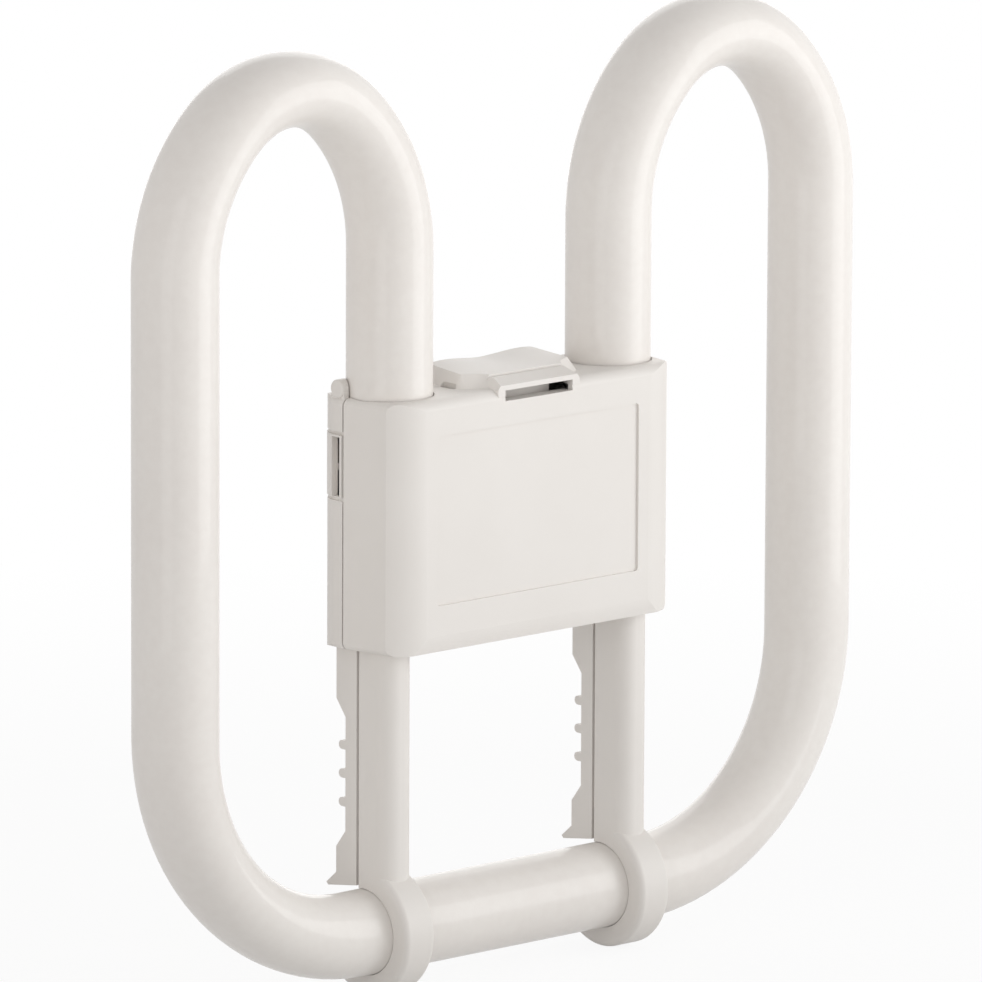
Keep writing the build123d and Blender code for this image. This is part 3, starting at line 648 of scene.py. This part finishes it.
# %% The plastic material
def moulded_plastic_material():
    material, tree, shader = new_material("moulded_plastic")
    patches = add(tree, "ShaderNodeGroup", {
        "Colour A": (0.790, 0.757, 0.722, 1), "Colour B": (0.770, 0.736, 0.700, 1),
        "Scale": 35.0, "Amount": 0.9,
    }, node_tree=soft_patches)
    edges = add(tree, "ShaderNodeGroup", {"Width": 0.5 * MM, "Amount": 0.6}, node_tree=edge_wear)
    rubbed = (0.830, 0.805, 0.775, 1)
    colour = mixed_colour(tree, edges.outputs["Mask"], patches.outputs["Colour"], rubbed)
    grain = add(tree, "ShaderNodeGroup", {
        "Scale": 2600.0, "Depth": 0.03 * MM, "Strength": 0.35,
    }, node_tree=fine_grain)
    satin = add(tree, "ShaderNodeMapRange", {
        "Value": grain.outputs["Mask"], "To Min": 0.40, "To Max": 0.58,
    }).outputs[0]
    polish = maths(tree, "MULTIPLY", edges.outputs["Mask"], 0.12)
    roughness = maths(tree, "SUBTRACT", satin, polish)
    tree.links.new(colour, shader.inputs["Base Color"])
    tree.links.new(roughness, shader.inputs["Roughness"])
    tree.links.new(grain.outputs["Normal"], shader.inputs["Normal"])
    shader.inputs["IOR"].default_value = 1.46
    return material


moulded_plastic = moulded_plastic_material()
print("material:", moulded_plastic.name)

# %% [markdown]
# ## The small parts
# The pins are plain brass, a little dull where the holder has rubbed them. The leads are
# tinned wire in braided sleeves, and the ends of the tube sit in a pale cement. One
# function makes all four finishes, because they differ only in their numbers.

# %% Materials of the small parts
def simple_material(name, colours, patch_scale, roughness, grain_scale, grain_depth, metal=0.0):
    """A material of two close colours in patches, with a grain that also sets its roughness."""
    material, tree, shader = new_material(name)
    patches = add(tree, "ShaderNodeGroup", {
        "Colour A": (*colours[0], 1), "Colour B": (*colours[1], 1),
        "Scale": patch_scale, "Amount": 1.0,
    }, node_tree=soft_patches)
    grain = add(tree, "ShaderNodeGroup", {
        "Scale": grain_scale, "Depth": grain_depth, "Strength": 0.4,
    }, node_tree=fine_grain)
    dullness = add(tree, "ShaderNodeMapRange", {
        "Value": grain.outputs["Mask"], "To Min": roughness[0], "To Max": roughness[1],
    }).outputs[0]
    tree.links.new(patches.outputs["Colour"], shader.inputs["Base Color"])
    tree.links.new(dullness, shader.inputs["Roughness"])
    tree.links.new(grain.outputs["Normal"], shader.inputs["Normal"])
    shader.inputs["Metallic"].default_value = metal
    return material


brass = simple_material(
    "brass", colours=((0.72, 0.55, 0.27), (0.60, 0.44, 0.20)), patch_scale=300.0,
    roughness=(0.22, 0.42), grain_scale=1800.0, grain_depth=0.01 * MM, metal=1.0)
tinned_wire = simple_material(
    "tinned_wire", colours=((0.62, 0.61, 0.58), (0.50, 0.49, 0.47)), patch_scale=500.0,
    roughness=(0.25, 0.45), grain_scale=3000.0, grain_depth=0.01 * MM, metal=1.0)
sleeve_fibre = simple_material(
    "sleeve_fibre", colours=((0.78, 0.74, 0.62), (0.66, 0.62, 0.50)), patch_scale=700.0,
    roughness=(0.75, 0.95), grain_scale=4000.0, grain_depth=0.08 * MM)
pale_cement = simple_material(
    "pale_cement", colours=((0.72, 0.67, 0.58), (0.60, 0.55, 0.46)), patch_scale=260.0,
    roughness=(0.85, 1.0), grain_scale=1500.0, grain_depth=0.12 * MM)
print("small parts' materials:", brass.name, tinned_wire.name, sleeve_fibre.name, pale_cement.name)

# %% [markdown]
# ## Dressing the CAD parts
# The solids keep their shape. Only their materials change, by assigning a new one to each
# slot of the object. The two mouldings share the plastic, and a small part is known by
# the start of its name.

# %% Give each part its material
SMALL_FINISHES = {
    "contact_pin": brass,
    "lead_wire": tinned_wire,
    "lead_sleeve": sleeve_fibre,
    "cement": pale_cement,
}


def finish_for(name):
    for start, material in SMALL_FINISHES.items():
        if name.startswith(start):
            return material
    return moulded_plastic


for name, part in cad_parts.items():
    if name != "discharge_tube":
        part.data.materials.clear()
        part.data.materials.append(finish_for(name))
print("dressed:", len(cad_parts) - 1, "parts")

# %% [markdown]
# ## Floor and surroundings
# The lamp stands on a round sheet of pale paper in a bright studio. The camera and the
# reflections see the paper and the surroundings as plain white. Near the middle a small
# share of the paper's real shading is kept, which leaves a soft shadow, and the share fades to
# nothing at the rim, so no edge shows. The sheet is small for a second reason: light from low
# down still gets past it, and upright glass seen from a little above mirrors exactly that light.
# Light that bounces off the sheet sees a darker paper, which keeps undersides from glowing.

# %% The sheet of paper
PLAIN_WHITE = (1, 1, 1, 1)
PAPER_SEEN = (0.95, 0.95, 0.95, 1)
PAPER_IN_BOUNCES = (0.78, 0.78, 0.78, 1)
FLOOR_Z = -104.3 * MM
FLOOR_RADIUS = 0.46
FLOOR_SIDES = 96
SHADOW_SHARE = 0.10
SHADOW_FADES_FROM, SHADOW_GONE_AT = 0.22, 0.45


def seen_as_plain(tree):
    """1 for rays from the camera, a reflection or through glass, and 0 for the rest."""
    rays = tree.nodes.new("ShaderNodeLightPath").outputs
    mirrored = maths(tree, "MAXIMUM", rays["Is Glossy Ray"], rays["Is Transmission Ray"])
    return maths(tree, "MAXIMUM", rays["Is Camera Ray"], mirrored)


def paper_material():
    material, tree, shader = new_material("white_floor")
    from_camera = tree.nodes.new("ShaderNodeLightPath").outputs["Is Camera Ray"]
    paper = mixed_colour(tree, from_camera, PAPER_IN_BOUNCES, PAPER_SEEN)
    tree.links.new(paper, shader.inputs["Base Color"])
    shader.inputs["Roughness"].default_value = 0.9
    shader.inputs["Specular IOR Level"].default_value = 0.0
    place_on = add(tree, "ShaderNodeTexCoord").outputs["Object"]
    distance = add(tree, "ShaderNodeVectorMath", {0: place_on}, operation="LENGTH")
    whiteness = add(tree, "ShaderNodeMapRange", {
        "Value": distance.outputs["Value"],
        "From Min": SHADOW_FADES_FROM, "From Max": SHADOW_GONE_AT,
        "To Min": 1 - SHADOW_SHARE, "To Max": 1.0,
    }).outputs[0]
    share = maths(tree, "MULTIPLY", seen_as_plain(tree), whiteness)
    plain = add(tree, "ShaderNodeEmission", {"Color": PLAIN_WHITE, "Strength": 1.0}).outputs[0]
    mixed = add(tree, "ShaderNodeMixShader", {0: share, 1: shader.outputs[0], 2: plain})
    output = next(node for node in tree.nodes if node.type == "OUTPUT_MATERIAL")
    tree.links.new(mixed.outputs[0], output.inputs[0])
    return material


def white_floor():
    mesh = bpy.data.meshes.new("floor")
    turns = [2 * math.pi * step / FLOOR_SIDES for step in range(FLOOR_SIDES)]
    rim = [
        (FLOOR_RADIUS * math.cos(turn), FLOOR_RADIUS * math.sin(turn), FLOOR_Z)
        for turn in turns
    ]
    mesh.from_pydata(rim, [], [range(FLOOR_SIDES)])
    mesh.materials.append(paper_material())
    floor = bpy.data.objects.new("floor", mesh)
    bpy.context.scene.collection.objects.link(floor)


white_floor()
print("floor at", round(FLOOR_Z / MM, 1), "mm")

# %% The surroundings
ROOM_COLOUR = (1.0, 0.992, 0.985, 1)


def white_world(level_strength, top_strength):
    """Soft light from all round, weaker from above; camera and reflections see plain white."""
    world = bpy.data.worlds.new("studio")
    world.use_nodes = True
    tree = world.node_tree
    tree.nodes.clear()
    facing = add(tree, "ShaderNodeTexCoord").outputs["Generated"]
    height = add(tree, "ShaderNodeSeparateXYZ", {0: facing}).outputs["Z"]
    strength = add(tree, "ShaderNodeMapRange", {
        "Value": height, "To Min": level_strength, "To Max": top_strength,
    }).outputs[0]
    room = add(tree, "ShaderNodeBackground", {"Color": ROOM_COLOUR, "Strength": strength})
    plain = add(tree, "ShaderNodeBackground", {"Color": PLAIN_WHITE, "Strength": 1.0})
    mixed = add(tree, "ShaderNodeMixShader", {
        0: seen_as_plain(tree), 1: room.outputs[0], 2: plain.outputs[0],
    }).outputs[0]
    output = tree.nodes.new("ShaderNodeOutputWorld")
    tree.links.new(mixed, output.inputs[0])
    bpy.context.scene.world = world


white_world(level_strength=0.67, top_strength=0.50)
bpy.context.scene.view_settings.view_transform = "Standard"
print("surroundings:", bpy.context.scene.world.name)

# %% [markdown]
# ## Soft lamps
# A broad soft lamp at the right front gives the glass its long, clear bands. A narrow one
# at the left lights the side of the block, and one behind shapes the rear and is mirrored in
# the flat top of the block. Each is placed by its direction as seen from the object, in
# degrees, and all stand equally far away.

# %% Place the lamps
LAMP_DISTANCE = 2.0


def soft_lamp(name, azimuth, elevation, width, height, power, colour):
    """A soft lamp aimed at the middle of the object, placed by its direction."""
    light = bpy.data.lights.new(name, "AREA")
    light.shape = "RECTANGLE"
    light.size, light.size_y = width, height
    light.energy = power
    light.color = colour
    direction = direction_to(math.radians(azimuth), math.radians(elevation))
    lamp = bpy.data.objects.new(name, light)
    lamp.location = Vector((0, TUBE_Y, 0)) + direction * LAMP_DISTANCE
    lamp.rotation_euler = direction.to_track_quat("Z", "Y").to_euler()
    bpy.context.scene.collection.objects.link(lamp)
    return lamp


lamps = [
    soft_lamp("key_lamp", azimuth=43, elevation=6, width=1.5, height=1.9,
              power=25.5, colour=(0.985, 0.995, 1.0)),
    soft_lamp("side_lamp", azimuth=-64, elevation=2, width=0.9, height=1.9,
              power=7.5, colour=(1.0, 0.985, 0.97)),
    soft_lamp("back_lamp", azimuth=142, elevation=14, width=1.2, height=1.6,
              power=7.0, colour=(1.0, 0.995, 0.99)),
]
print("lamps:", len(lamps))
